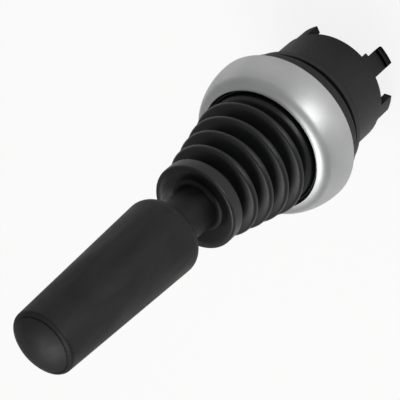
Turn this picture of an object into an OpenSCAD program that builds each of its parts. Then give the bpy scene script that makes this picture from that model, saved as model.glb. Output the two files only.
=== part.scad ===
// Industrial joystick head for a 22.5 mm panel hole
//
// A lever on a two-axis gimbal, sealed by a rubber bellows inside a domed bezel.
// A swash plate at the foot of the lever works four sprung plungers, which come
// out at the back of the housing to push switch blocks.
//
// Frame: millimetres, Z up along the lever at rest, origin where the axis meets
// the face of the panel. The bayonet lugs point to -Z.

/* [Lever grip] */
// Diameter of the grip at its outer end
grip_tip_d = 11.4; // [9:0.1:16]
// Diameter of the grip beside the neck
grip_root_d = 13.9; // [10:0.1:20]
// Length of the grip along the lever
grip_len = 34.6; // [24:0.1:60]
// Radius of the domed end face
grip_dome_r = 9.0; // [7:0.1:40]
// Radius of the edge round the end face
grip_edge_r = 1.2; // [0.4:0.1:3]
// Radius of the shoulder beside the neck
grip_shoulder_r = 2.4; // [0.5:0.1:4]

/* [Neck sleeve] */
// Visible length of the neck between the bellows and the grip
neck_len = 8.2; // [4:0.1:20]
// Diameter of the neck where it meets the grip
neck_top_d = 7.4; // [6:0.1:10]
// Diameter of the neck where it leaves the bellows
neck_foot_d = 8.2; // [6:0.1:11]
// Radius of the fillet at the foot of the neck
neck_foot_r = 0.8; // [0.2:0.1:1.5]
// Diameter of the spigots at both ends of the neck
spigot_d = 6.0; // [5:0.1:7]
// Length of the spigot inside the grip
spigot_len = 2.0; // [1:0.1:5]

/* [Lever rod] */
// Diameter of the steel rod
rod_d = 4.0; // [3:0.1:5]
// Depth of the rod inside the grip
rod_in_grip = 16.0; // [8:0.5:22]
// Diameter of the shoulder that clamps the hub
rod_collar_d = 5.8; // [5:0.1:6.6]
// Thickness of that shoulder
rod_collar_h = 1.0; // [0.5:0.1:2]
// Length of rod below the swash plate
rod_foot = 1.2; // [1:0.1:1.5]
// Outer diameter of the brass insert moulded into the grip
insert_d = 7.0; // [6:0.1:9]
// Length of the brass insert
insert_len = 10.0; // [5:0.5:14]
// Width of the anchoring groove round the insert
insert_groove_w = 1.0; // [0.5:0.1:2]
// Depth of that groove
insert_groove_depth = 0.5; // [0.2:0.1:0.8]

/* [Bellows] */
// Number of folds below the collar
folds = 4; // [3:1:5]
// Height of the lowest fold's centre above the front of the bezel
fold_standoff = 3.43; // [3:0.01:4]
// Distance from one fold to the next
fold_pitch = 3.55; // [3.2:0.05:4]
// How much wider each fold is than the one above, on the radius
fold_growth = 0.795; // [0.6:0.005:1]
// Distance from the axis to the centre of the rounding at the collar's rear edge
collar_rim_r = 7.15; // [6.6:0.05:8]
// Radius of the rounded tip of each fold
fold_tip_r = 0.75; // [0.65:0.05:0.85]
// Radius at the bottom of each groove
groove_r = 0.55; // [0.4:0.05:0.7]
// Radial depth from the tip centre to the groove centre
fold_depth = 1.3; // [1:0.05:1.6]
// Thickness of the rubber wall
boot_wall = 0.6; // [0.45:0.05:0.62]
// Thickness of the collar at its rim
collar_h = 3.0; // [2:0.1:4]
// Radius of the collar's front edge
collar_edge_r = 1.3; // [0.5:0.1:1.4]
// Radius of the dish in the collar's front face
dish_r = 5.6; // [5:0.1:6]
// Depth of that dish
dish_depth = 1.0; // [0.4:0.1:1.6]
// Width of the foot flange outside the tube above it
foot_flange_w = 1.6; // [1.2:0.1:2]
// Thickness of the foot flange
foot_flange_h = 1.4; // [0.8:0.1:2]
// Outer diameter of the tube above the foot flange
foot_tube_d = 21.4; // [20:0.1:23]

/* [Bezel] */
// Thickness of the bezel's rear edge outside the collar
bezel_edge_t = 1.8; // [1.6:0.1:3]
// Height of the bezel
bezel_h = 7.0; // [6.6:0.1:9]
// Gap between the retaining ring and the opening of the bezel
opening_gap = 0.3; // [0.2:0.05:0.6]
// Radius of the side of the dome
dome_side_r = 13.0; // [11:0.1:18]
// Radius of the front of the dome
dome_front_r = 2.5; // [2.2:0.1:3]
// Thickness of the bezel's shell
bezel_wall = 1.0; // [0.8:0.1:1.2]
// Height of the inner rim that sits on the housing
bezel_rim_h = 1.2; // [0.8:0.1:2]

/* [Retaining ring] */
// Thickness of the ring's flange
ring_flange_h = 0.8; // [0.5:0.1:1]
// Height of the ring above its flange
ring_lip_h = 1.1; // [0.5:0.1:1.4]
// Thickness of the ring's lip
ring_lip_t = 0.5; // [0.4:0.05:0.55]

/* [Housing] */
// Diameter of the drum that goes through the panel
drum_d = 22.0; // [21.6:0.1:22.3]
// Length of the drum behind the panel
drum_len = 9.8; // [8.4:0.1:14]
// Gap between the gimbal ring and the bore that holds the mechanism
gimbal_gap = 0.6; // [0.4:0.1:0.9]
// How far the flange above the gasket stands in from the skirt
flange_step = 1.0; // [0.6:0.1:1.4]
// Height of that flange
flange_h = 2.7; // [1.5:0.1:3]
// How far the skirt stands in from the bezel
skirt_step = 1.25; // [0.8:0.05:1.6]
// Height of the skirt
skirt_h = 3.3; // [2:0.1:4]
// Radius of the skirt's lower edge
skirt_edge_r = 0.4; // [0.1:0.1:0.6]
// How far the collar inside the bezel reaches past the foot of the bellows
collar_margin = 0.7; // [0.5:0.1:1]
// Height of the collar inside the bezel
inner_collar_h = 3.1; // [2.8:0.1:3.2]
// Height of the rim round the back edge of the drum
rear_rim_h = 1.0; // [0.5:0.1:2]
// How far that rim stands in from the drum
rear_rim_step = 0.25; // [0.1:0.05:0.5]

/* [Gasket] */
// How far the gasket stands in from the flange above it
gasket_step = 0.6; // [0.3:0.1:1]
// Depth of the groove in the drum that the gasket's lip snaps into
gasket_seat = 0.3; // [0.25:0.05:0.5]
// Height of that lip above the panel face
gasket_lip_at = 0.3; // [0.2:0.1:0.5]
// Thickness of the panel gasket
gasket_h = 1.2; // [0.8:0.1:2]

/* [Bayonet lugs] */
// Reach of the narrow lugs behind the drum
lug_len = 3.8; // [2:0.1:5]
// Direction of one narrow lug from the X axis, in degrees
lug_a_at = 28.5; // [24:0.5:34]
// Direction of the other narrow lug, in degrees
lug_b_at = 165; // [150:0.5:170]
// Direction of the wide lug, in degrees
key_at = 77.5; // [70:0.5:90]
// Width of the narrow lugs, in degrees
lug_angle = 17; // [10:1:24]
// Reach of the wide lugs behind the drum
key_len = 5.6; // [4:0.1:7]
// Width of the wide lugs, in degrees
key_angle = 20; // [12:1:30]
// Height of the small step beside each wide lug
key_step_h = 1.4; // [0.5:0.1:3]
// Width of that step, in degrees
key_step_angle = 4; // [2:1:8]
// Height of the hook on the tip of each wide lug
key_hook_h = 1.4; // [0.8:0.1:2]
// Reach of that hook
key_hook = 0.4; // [0.2:0.1:0.45]

/* [Gimbal] */
// Height of the pivot above the panel face
pivot_z = 3.0; // [2.6:0.1:3.4]
// Largest tilt of the lever about each axis
tilt_max = 12; // [8:1:13]
// Outer diameter of the gimbal ring
gimbal_d = 15.8; // [15:0.1:16]
// Inner diameter of the gimbal ring
gimbal_bore_d = 9.8; // [9.4:0.1:10]
// Height of the gimbal ring
gimbal_h = 3.2; // [2.8:0.1:3.4]
// Diameter of the four pivot pins
pin_d = 2.0; // [1.4:0.1:2]
// Depth of each outer pin in the wall of the housing
pin_seat = 1.9; // [1:0.1:2.2]
// Diameter of the hub on the lever
hub_d = 6.8; // [6.4:0.1:7]
// Height of the hub above the pivot
hub_up = 2.6; // [2:0.1:3]
// Diameter of the hub's side bosses
hub_boss_d = 3.6; // [3:0.1:3.6]

/* [Swash plate] */
// Diameter of the swash plate
swash_d = 14.0; // [13.6:0.1:14.4]
// Thickness of the swash plate
swash_h = 1.4; // [1:0.1:1.6]
// Depth of the plate's upper face below the pivot
swash_drop = 3.6; // [3.5:0.1:4]
// Outer diameter of the clip below the plate
clip_d = 6.4; // [5.6:0.1:6.6]
// Thickness of that clip
clip_h = 0.6; // [0.4:0.1:0.8]
// Depth of the groove in the rod that holds the clip
clip_groove = 0.4; // [0.2:0.05:0.6]

/* [Gate] */
// Thickness of the gate plate
gate_h = 1.4; // [1:0.1:2]
// Clearance between the tilted rod and the gate
gate_clear = 0.15; // [0.1:0.01:0.3]

/* [Plungers] */
// Distance of each plunger from the axis
plunger_r = 6.0; // [5.8:0.1:6.1]
// Diameter of the plunger's head
plunger_head_d = 3.0; // [2.6:0.1:3]
// Height of the plunger's head
plunger_head_h = 1.0; // [0.8:0.1:1.4]
// Radius of the domed top of the head
plunger_dome_r = 1.7; // [1.6:0.1:2.5]
// Diameter of the plunger's stem
plunger_d = 1.8; // [1.4:0.1:1.8]
// Reach of the stem behind its guide
plunger_reach = 1.8; // [1.5:0.1:3]
// Free play between the swash plate and each plunger
plunger_play = 0.45; // [0.42:0.01:0.6]

/* [Springs] */
// Diameter of the spring wire
wire_d = 0.4; // [0.3:0.05:0.45]
// Mean diameter of the spring
spring_d = 2.7; // [2.5:0.05:2.75]
// Number of turns
spring_turns = 8; // [5:1:9]

/* [Rear cover] */
// Thickness of the rear cover
cover_h = 1.8; // [1.2:0.1:2.4]
// How far the rear cover reaches past the bore of the drum
cover_ledge = 0.8; // [0.6:0.1:1.1]
// Outer diameter of the four bushes that guide the plungers
guide_d = 4.6; // [4.4:0.1:4.8]
// Length of the bushes behind the cover
guide_len = 2.6; // [1.8:0.1:3]
// Thickness of the floor of each bush below its spring
guide_floor = 1.0; // [0.6:0.1:1.5]

/* [Screws] */
// Thread diameter of the cover screws
screw_d = 1.8; // [1.4:0.1:2]
// Head diameter of the cover screws
screw_head_d = 3.2; // [2.8:0.1:3.4]
// Height of the screw heads
screw_head_h = 1.0; // [0.8:0.1:1.2]
// Length of thread in the housing
screw_grip = 2.4; // [1.6:0.1:2.6]
// Distance of the screws from the axis
screw_r = 7.4; // [7.2:0.1:7.6]
// Diameter of the screw bosses in the housing
screw_boss_d = 3.6; // [3.2:0.1:4]
// Height of the screw bosses
screw_boss_h = 3.2; // [2.8:0.1:3.4]
// Width of the drive slot in each screw head
slot_w = 0.5; // [0.3:0.05:0.8]
// Depth of that slot
slot_depth = 0.5; // [0.3:0.05:0.6]

/* [Fits] */
// Running clearance on the radius of a pin or shaft
run_clear = 0.05; // [0.02:0.01:0.1]
// Clearance on the radius of parts that are only put together
seat_clear = 0.05; // [0.02:0.01:0.15]
// Clearance on the radius between rubber and rigid parts
rubber_clear = 0.1; // [0.05:0.01:0.2]
// Free length left at the end of a blind hole
end_clear = 0.3; // [0.1:0.05:1]
// Width of the small chamfers on turned and moulded edges
edge = 0.3; // [0.1:0.05:0.4]

/* [Hidden] */
$fn = 96;
cut = 1;                                    // overshoot of every cutting shape
arc_steps = 5;                              // straight steps in each rounding of the bellows
turn_steps = 14;                            // straight steps in each turn of a spring
wire_sides = 6;                             // sides of the wire of a spring
wedge_gap = 1;                              // degrees by which cuts between lugs overlap

// Widths of the fixed parts, from the foot of the bellows outwards
gate_d = foot_tube_d - 2 * boot_wall;
bezel_opening_d = foot_tube_d + 2 * (rubber_clear + ring_lip_t + opening_gap);
foot_flange_d = foot_tube_d + 2 * foot_flange_w;
collar_d = foot_flange_d + 2 * collar_margin;
bezel_d = collar_d + 2 * (seat_clear + bezel_edge_t);
skirt_d = bezel_d - 2 * skirt_step;
flange_d = skirt_d - 2 * flange_step;
gasket_d = flange_d - 2 * gasket_step;
groove_d = drum_d - 2 * gasket_seat;

// Bore for the mechanism, and the cover that closes it
bore_d = gimbal_d + 2 * gimbal_gap;
cover_d = bore_d + 2 * cover_ledge;

// Stack of the fixed parts, from the panel face outwards
flange_z = gasket_h;
skirt_z = flange_z + flange_h;
bezel_z = skirt_z + skirt_h;
bezel_top = bezel_z + bezel_h;
collar_top = bezel_z + inner_collar_h;
gate_z = collar_top - gate_h;
foot_top = collar_top + foot_flange_h;
ring_top = foot_top + ring_flange_h;

// Bellows: the lowest fold stands clear of the bezel's front
first_fold_z = bezel_top + fold_standoff;
collar_fold_z = first_fold_z + folds * fold_pitch;
collar_front = collar_fold_z - fold_tip_r + collar_h;
collar_r = collar_rim_r + fold_tip_r;
lip_z = collar_fold_z - fold_tip_r;
boot_bore_r = spigot_d / 2 + rubber_clear;

// Lever
neck_z = collar_front - dish_depth;
grip_z = collar_front + neck_len - dish_depth;
grip_top = grip_z + grip_len;
swash_z = pivot_z - swash_drop;             // upper face of the swash plate
rod_bottom = swash_z - swash_h - rod_foot;
hub_top = pivot_z + hub_up;
clip_bore = rod_d - 2 * clip_groove;
// The hub's bosses end clear of the inside of the gimbal ring
hub_boss_reach = sqrt(pow(gimbal_bore_d / 2 - end_clear, 2) - pow(hub_boss_d / 2, 2));

// Back of the housing
drum_back = -drum_len;
cover_z = drum_back + cover_h;              // inner face of the rear cover
guide_back = drum_back - guide_len;
spring_seat = guide_back + guide_floor;
cover_seat_r = cover_d / 2 + seat_clear;
lug_outer_r = drum_d / 2 - rear_rim_step;

// Plungers
plunger_top = swash_z - swash_h - plunger_play;
head_back = plunger_top - plunger_head_h;
spring_len = head_back - spring_seat;
stem_end = guide_back - plunger_reach;

// Gate opening: the rod at full tilt about both axes, plus its clearance
gate_reach = collar_top - pivot_z;
gate_half = (gate_reach * tan(tilt_max) + rod_d / 2) / cos(tilt_max) + gate_clear;

rubber_black = [0.09, 0.09, 0.095];
grip_black = [0.16, 0.16, 0.165];
housing_grey = [0.22, 0.22, 0.225];
satin_silver = [0.80, 0.80, 0.80];
steel = [0.66, 0.66, 0.68];
brass = [0.74, 0.60, 0.30];

// A tube between two heights, or a disc when the bore is zero
module tube(d, bore, z0, z1) {
    translate([0, 0, z0]) difference() {
        cylinder(d = d, h = z1 - z0);
        if (bore > 0) {
            translate([0, 0, -cut]) cylinder(d = bore, h = z1 - z0 + 2 * cut);
        }
    }
}

// A pin along X from x0 to x1 at the height of the pivot
module side_pin(d, x0, x1) {
    translate([x0, 0, pivot_z]) rotate([0, 90, 0]) cylinder(d = d, h = x1 - x0);
}

// Copies of a part at both ends of an axis
module both_ways() {
    for (a = [0, 180]) {
        rotate([0, 0, a]) children();
    }
}

// ---------------------------------------------------------------- lever

// Half outline of the grip: tapered side, domed end, rounded edges
module grip_outline() {
    tip = grip_tip_d / 2;
    root = grip_root_d / 2;
    edge_x = tip - grip_edge_r;
    edge_z = grip_top - grip_dome_r
        + sqrt(pow(grip_dome_r - grip_edge_r, 2) - edge_x * edge_x);
    join = atan2(edge_x, edge_z - grip_top + grip_dome_r);
    intersection() {
        union() {
            polygon([
                [0, grip_z],
                [root - grip_shoulder_r, grip_z],
                [root, grip_z + grip_shoulder_r],
                [tip, edge_z],
                [grip_dome_r * sin(join), grip_top - grip_dome_r * (1 - cos(join))],
                [0, grip_top - grip_dome_r * (1 - cos(join))]
            ]);
            translate([root - grip_shoulder_r, grip_z + grip_shoulder_r])
                circle(r = grip_shoulder_r);
            translate([edge_x, edge_z]) circle(r = grip_edge_r);
            intersection() {
                translate([0, grip_top - grip_dome_r]) circle(r = grip_dome_r);
                translate([0, grip_top - grip_dome_r * (1 - cos(join))])
                    square([grip_tip_d, grip_dome_r]);
            }
        }
        square([grip_root_d, grip_top + cut]);
    }
}

module grip() {
    color(grip_black) difference() {
        rotate_extrude() grip_outline();
        // counterbore for the neck's spigot
        tube(spigot_d + 2 * seat_clear, 0, grip_z - cut, grip_z + spigot_len + end_clear);
        // pocket of the brass insert
        tube(insert_d, 0, grip_z + spigot_len, grip_z + spigot_len + insert_len);
        // blind hole past the insert for the end of the rod
        tube(rod_d + 2 * seat_clear, 0, grip_z, grip_z + rod_in_grip + end_clear);
    }
}

module thread_insert() {
    z0 = grip_z + spigot_len + end_clear;
    z1 = grip_z + spigot_len + insert_len;
    groove_z = (z0 + z1) / 2;
    color(brass) difference() {
        tube(insert_d, rod_d, z0, z1);
        // anchoring groove round the middle
        translate([0, 0, groove_z - insert_groove_w / 2]) difference() {
            cylinder(d = insert_d + 2 * cut, h = insert_groove_w);
            translate([0, 0, -cut])
                cylinder(d = insert_d - 2 * insert_groove_depth, h = insert_groove_w + 2 * cut);
        }
    }
}

module neck_sleeve() {
    foot = neck_foot_d / 2;
    top = neck_top_d / 2;
    color(grip_black) difference() {
        union() {
            rotate_extrude() difference() {
                polygon([
                    [0, neck_z],
                    [foot + neck_foot_r, neck_z],
                    [foot, neck_z + neck_foot_r],
                    [top, grip_z],
                    [0, grip_z]
                ]);
                translate([foot + neck_foot_r, neck_z + neck_foot_r])
                    circle(r = neck_foot_r);
            }
            tube(spigot_d, 0, lip_z - end_clear, neck_z);
            tube(spigot_d, 0, grip_z, grip_z + spigot_len);
        }
        tube(rod_d, 0, lip_z - end_clear - cut, grip_z + spigot_len + cut);
    }
}

module lever_rod() {
    color(steel) difference() {
        union() {
            tube(rod_d, 0, rod_bottom, grip_z + rod_in_grip);
            tube(rod_collar_d, 0, hub_top, hub_top + rod_collar_h);
        }
        // groove that holds the clip
        tube(rod_d + 2 * cut, clip_bore, swash_z - swash_h - clip_h, swash_z - swash_h);
    }
}

module hub() {
    color(steel) difference() {
        union() {
            tube(hub_d, 0, swash_z, hub_top);
            // side bosses that carry the inner pins
            rotate([0, 0, 90]) side_pin(hub_boss_d, -hub_boss_reach, hub_boss_reach);
        }
        tube(rod_d, 0, swash_z - cut, hub_top + cut);
        rotate([0, 0, 90]) both_ways()
            side_pin(pin_d + 2 * run_clear, rod_d / 2 - cut, hub_boss_reach + cut);
    }
}

module swash_plate() {
    color(steel) difference() {
        rotate_extrude() polygon([
            [0, swash_z - swash_h],
            [swash_d / 2 - edge, swash_z - swash_h],
            [swash_d / 2, swash_z - swash_h + edge],
            [swash_d / 2, swash_z],
            [0, swash_z]
        ]);
        tube(rod_d, 0, swash_z - swash_h - cut, swash_z + cut);
    }
}

module rod_clip() {
    z1 = swash_z - swash_h;
    mouth = clip_bore - clip_groove;
    color(steel) difference() {
        tube(clip_d, clip_bore, z1 - clip_h, z1);
        // mouth of the clip
        translate([0, -mouth / 2, z1 - clip_h - cut]) cube([clip_d, mouth, clip_h + 2 * cut]);
    }
}

// ---------------------------------------------------------------- gimbal

module gimbal_ring() {
    color(steel) difference() {
        tube(gimbal_d, gimbal_bore_d, pivot_z - gimbal_h / 2, pivot_z + gimbal_h / 2);
        both_ways() side_pin(pin_d + 2 * run_clear, gimbal_bore_d / 2 - cut, gimbal_d / 2 + cut);
        rotate([0, 0, 90]) both_ways()
            side_pin(pin_d, gimbal_bore_d / 2 - cut, gimbal_d / 2 + cut);
    }
}

// The outer pins sit in the wall of the housing
module gimbal_pins() {
    color(steel) both_ways()
        side_pin(pin_d, gimbal_bore_d / 2 + end_clear, bore_d / 2 + pin_seat);
}

// The inner pins sit in the ring and carry the hub
module hub_pins() {
    color(steel) rotate([0, 0, 90]) both_ways()
        side_pin(pin_d, rod_d / 2 + end_clear, gimbal_d / 2 - end_clear / 2);
}

// ---------------------------------------------------------------- bellows

// Centres of the fold tips, fold 0 being the rear edge of the collar
function tip(i) = [collar_rim_r + fold_growth * i, collar_fold_z - fold_pitch * i];
// Centres of the grooves, groove i lying below fold i
function groove(i) = [
    collar_rim_r + fold_growth * (i + 0.5) - fold_depth,
    collar_fold_z - fold_pitch * (i + 0.5)
];
// Direction from the circle at p to where the flank towards the circle at q touches it
function touch(p, q, side) =
    let (d = q - p, lean = asin((fold_tip_r + groove_r) / norm(d)))
    atan2(d[1], d[0]) + side * (90 - lean);
// Points on a circle of radius r round p, from angle a0 to angle a1
function arc(p, r, a0, a1) =
    [for (k = [0:arc_steps]) let (a = a0 + (a1 - a0) * k / arc_steps) p + r * [cos(a), sin(a)]];

// Outline of the folds from the foot to the collar; inset moves it inwards
function folds_line(inset) = [
    for (i = [folds:-1:0]) each concat(
        arc(groove(i), groove_r + inset,
            i == folds ? 270 : 360 + touch(groove(i), tip(i + 1), -1),
            touch(groove(i), tip(i), 1)),
        arc(tip(i), fold_tip_r - inset,
            touch(tip(i), groove(i), 1),
            i == 0 ? 0 : touch(tip(i), groove(i - 1), -1))
    )
];

// Half section of the folds, filled to the axis
module folds_section(inset) {
    line = folds_line(inset);
    polygon(concat(
        [[0, collar_top], [foot_tube_d / 2 - inset, collar_top],
         [foot_tube_d / 2 - inset, line[0][1]]],
        line,
        [[0, line[len(line) - 1][1]]]
    ));
}

// Half section of the thick collar at the top of the bellows
module collar_section() {
    x = collar_r - collar_edge_r;
    z = collar_front - collar_edge_r;
    polygon(concat(
        [[0, lip_z], [tip(0)[0], lip_z]],
        arc(tip(0), fold_tip_r, -90, 0),
        arc([collar_r - collar_edge_r, collar_front - collar_edge_r], collar_edge_r, 0, 90),
        [[0, collar_front]]
    ));
}

module bellows() {
    color(rubber_black) rotate_extrude() difference() {
        union() {
            folds_section(0);
            collar_section();
            translate([0, collar_top]) square([foot_flange_d / 2, foot_flange_h]);
        }
        difference() {
            folds_section(boot_wall);
            translate([0, lip_z - boot_wall]) square([collar_r, collar_h]);
        }
        // bore of the lip that grips the lever's sleeve
        translate([0, lip_z - 2 * boot_wall]) square([boot_bore_r, collar_h + 2]);
        // dish in the front face
        polygon([
            [0, neck_z],
            [neck_foot_d / 2 + neck_foot_r + rubber_clear, neck_z],
            [dish_r, collar_front],
            [dish_r, collar_front + cut],
            [0, collar_front + cut]
        ]);
        // open foot
        translate([0, collar_top - cut]) square([foot_tube_d / 2 - boot_wall, cut + foot_flange_h]);
    }
}

// ---------------------------------------------------------------- fixed parts

// Half outline of the domed shell; inset moves it inwards
module dome_outline(inset) {
    side = dome_side_r - inset;
    front = dome_front_r - inset;
    lean = asin((bezel_h - dome_front_r) / (dome_side_r - dome_front_r));
    side_x = bezel_d / 2 - dome_side_r;
    front_x = side_x + (dome_side_r - dome_front_r) * cos(lean);
    front_z = bezel_top - dome_front_r;
    intersection() {
        translate([side_x, bezel_z]) circle(r = side);
        translate([0, bezel_z]) square([bezel_d, front_z - bezel_z + front * sin(lean)]);
    }
    translate([front_x, front_z]) circle(r = front);
}

module bezel() {
    color(satin_silver) rotate_extrude() difference() {
        dome_outline(0);
        intersection() {
            dome_outline(bezel_wall);
            translate([0, bezel_z + bezel_rim_h]) square([bezel_d, ring_top - bezel_z - bezel_rim_h]);
        }
        translate([0, bezel_z - cut]) square([bezel_opening_d / 2, bezel_h + 2 * cut]);
        translate([0, bezel_z - cut]) square([collar_d / 2 + seat_clear, cut + bezel_rim_h]);
    }
}

module retaining_ring() {
    inner = foot_tube_d / 2 + rubber_clear;
    color(housing_grey) rotate_extrude() {
        translate([inner, foot_top])
            square([foot_flange_d / 2 - inner, ring_flange_h]);
        translate([inner, foot_top]) square([ring_lip_t, ring_flange_h + ring_lip_h - ring_lip_t / 2]);
        translate([inner + ring_lip_t / 2, ring_top + ring_lip_h - ring_lip_t / 2])
            circle(d = ring_lip_t, $fn = 24);
    }
}

module panel_gasket() {
    inner = drum_d / 2 + rubber_clear;
    lip = groove_d / 2 + rubber_clear;
    color(rubber_black) rotate_extrude() difference() {
        union() {
            translate([inner, 0]) square([gasket_d / 2 - inner, gasket_h]);
            translate([lip, gasket_lip_at]) square([inner - lip + cut, gasket_h - gasket_lip_at]);
        }
        translate([gasket_d / 2 - edge, 0]) rotate(-45) square([2 * edge, 2 * edge]);
    }
}

// A wedge of space from angle a0 to a1, reaching past the drum
module wedge(a0, a1, z0, z1) {
    rotate([0, 0, a0]) rotate_extrude(angle = a1 - a0)
        translate([cut, z0]) square([drum_d, z1 - z0]);
}

// Crown of lugs at the back of the drum: each half turn has two narrow lugs and a wide one
module crown() {
    tip_z = drum_back - key_len;
    narrow = lug_angle / 2;
    wide = key_angle / 2;
    difference() {
        tube(2 * lug_outer_r, 0, tip_z, drum_back + rear_rim_h + cut);
        both_ways() {
            // beyond the narrow lugs only the wide ones are left
            wedge(key_at + wide + key_step_angle + 2 * wedge_gap,
                lug_a_at + 180 + narrow + 2 * wedge_gap,
                tip_z - cut, drum_back - lug_len);
            // gaps between the lugs
            wedge(lug_a_at + narrow, key_at - wide, tip_z - cut, drum_back);
            wedge(key_at + wide + key_step_angle, lug_b_at - narrow, tip_z - cut, drum_back);
            wedge(lug_b_at + narrow, lug_a_at + 180 - narrow, tip_z - cut, drum_back);
            // step beside the wide lug
            wedge(key_at + wide, key_at + wide + key_step_angle + wedge_gap, tip_z - cut,
                drum_back - key_step_h);
        }
    }
    // hooks on the tips of the wide lugs
    both_ways() rotate([0, 0, key_at - wide + wedge_gap]) rotate_extrude(angle = key_angle - 2 * wedge_gap)
        translate([lug_outer_r - key_hook, tip_z + edge]) square([2 * key_hook, key_hook_h]);
}

module housing() {
    color(housing_grey) difference() {
        union() {
            tube(drum_d, 0, drum_back + rear_rim_h, 0);
            tube(groove_d, 0, -cut, flange_z + cut);
            rotate_extrude() polygon(concat(
                [[0, flange_z], [flange_d / 2, flange_z], [flange_d / 2, skirt_z]],
                arc([skirt_d / 2 - skirt_edge_r, skirt_z + skirt_edge_r], skirt_edge_r, -90, 0),
                [[skirt_d / 2, bezel_z], [collar_d / 2, bezel_z], [collar_d / 2, collar_top],
                 [0, collar_top]]
            ));
            crown();
        }
        // bore for the mechanism, with bosses left for the screws
        difference() {
            tube(bore_d, 0, drum_back - cut, collar_top + cut);
            for (a = [45:90:315]) {
                rotate([0, 0, a]) translate([screw_r, 0, cover_z])
                    cylinder(d = screw_boss_d, h = screw_boss_h);
            }
        }
        // seats of the gate plate and of the rear cover
        tube(gate_d + 2 * seat_clear, 0, gate_z, collar_top + cut);
        tube(2 * cover_seat_r, 0, drum_back - key_len - cut, cover_z);
        both_ways() side_pin(pin_d, bore_d / 2 - cut, bore_d / 2 + pin_seat);
        for (a = [45:90:315]) {
            rotate([0, 0, a]) translate([screw_r, 0, cover_z - cut])
                cylinder(d = screw_d, h = screw_grip + end_clear + cut);
        }
    }
}

module gate_plate() {
    color(steel) difference() {
        tube(gate_d, 0, gate_z, collar_top);
        translate([-gate_half, -gate_half, gate_z - cut])
            cube([2 * gate_half, 2 * gate_half, gate_h + 2 * cut]);
    }
}

module rear_cover() {
    color(housing_grey) difference() {
        tube(cover_d, 0, drum_back, cover_z);
        at_plungers() tube(guide_d + 2 * seat_clear, 0, drum_back - cut, cover_z + cut);
        for (a = [45:90:315]) {
            rotate([0, 0, a]) translate([screw_r, 0, drum_back - cut])
                cylinder(d = screw_d + 4 * seat_clear, h = cover_h + 2 * cut);
        }
    }
}

// A bush through the cover for each plunger, with a floor that carries its spring
module plunger_guides() {
    color(brass) at_plungers() difference() {
        tube(guide_d, 0, guide_back, cover_z);
        tube(spring_d + wire_d + 4 * rubber_clear, 0, spring_seat, cover_z + cut);
        tube(plunger_d + 2 * run_clear, 0, guide_back - cut, spring_seat + cut);
    }
}

module cover_screws() {
    color(steel) for (a = [45:90:315]) {
        rotate([0, 0, a]) translate([screw_r, 0, drum_back]) difference() {
            union() {
                translate([0, 0, -screw_head_h]) cylinder(d = screw_head_d, h = screw_head_h);
                cylinder(d = screw_d, h = cover_h + screw_grip);
            }
            translate([-screw_head_d, -slot_w / 2, -screw_head_h - cut])
                cube([2 * screw_head_d, slot_w, slot_depth + cut]);
        }
    }
}

// ---------------------------------------------------------------- plungers

module at_plungers() {
    for (a = [0:90:270]) {
        rotate([0, 0, a]) translate([plunger_r, 0, 0]) children();
    }
}

// A plunger at one side; a is its direction from the axis
module plunger_at(a) {
    color(brass) rotate([0, 0, a]) translate([plunger_r, 0, 0]) {
        tube(plunger_d, 0, stem_end, head_back + cut / 2);
        intersection() {
            tube(plunger_head_d, 0, head_back, plunger_top + cut);
            translate([0, 0, plunger_top - plunger_dome_r]) sphere(r = plunger_dome_r);
        }
    }
}

// Height of the wire's centre after t turns: closed turns at both ends, open ones between
function coil_z(t) =
    let (open = (spring_len - 3 * wire_d) / (spring_turns - 2))
    wire_d / 2 + (t < 1 ? t * wire_d
        : t > spring_turns - 1 ? wire_d + (spring_turns - 2) * open + (t - spring_turns + 1) * wire_d
        : wire_d + (t - 1) * open);
// Ring of points round the wire after t turns
function coil_ring(t) = [
    for (k = [0:wire_sides - 1])
        let (a = 360 * t, b = 360 * k / wire_sides, r = (spring_d + wire_d * cos(b)) / 2)
        [r * cos(a), r * sin(a), coil_z(t) + wire_d / 2 * sin(b)]
];

// A compression spring between the guide and the plunger's head
module spring_at(a) {
    rings = spring_turns * turn_steps;
    n = wire_sides;
    points = [for (i = [0:rings]) each coil_ring(i / turn_steps)];
    sides = [for (i = [0:rings - 1], k = [0:n - 1]) each
        let (p = i * n + k, q = i * n + (k + 1) % n) [[p, p + n, q], [q, p + n, q + n]]];
    ends = [[for (k = [0:n - 1]) k], [for (k = [n - 1:-1:0]) rings * n + k]];
    color(steel) rotate([0, 0, a]) translate([plunger_r, 0, spring_seat])
        polyhedron(points, concat(sides, ends));
}

module plunger_right() plunger_at(0);
module plunger_back() plunger_at(90);
module plunger_left() plunger_at(180);
module plunger_front() plunger_at(270);
module spring_right() spring_at(0);
module spring_back() spring_at(90);
module spring_left() spring_at(180);
module spring_front() spring_at(270);

housing();
panel_gasket();
bezel();
retaining_ring();
bellows();
gate_plate();
gimbal_pins();
rear_cover();
plunger_guides();
cover_screws();
gimbal_ring();
hub_pins();
lever_rod();
hub();
swash_plate();
rod_clip();
neck_sleeve();
thread_insert();
grip();
plunger_right();
plunger_left();
plunger_back();
plunger_front();
spring_right();
spring_left();
spring_back();
spring_front();
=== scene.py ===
"""Industrial joystick head: bellows, mouldings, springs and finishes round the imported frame.

Every size is in metres in the frame's own axes: Z runs up along the lever at rest, and the
origin is where the lever's axis meets the face of the panel.
"""
import math

import bmesh
import bpy
from mathutils import Matrix, Vector


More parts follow.
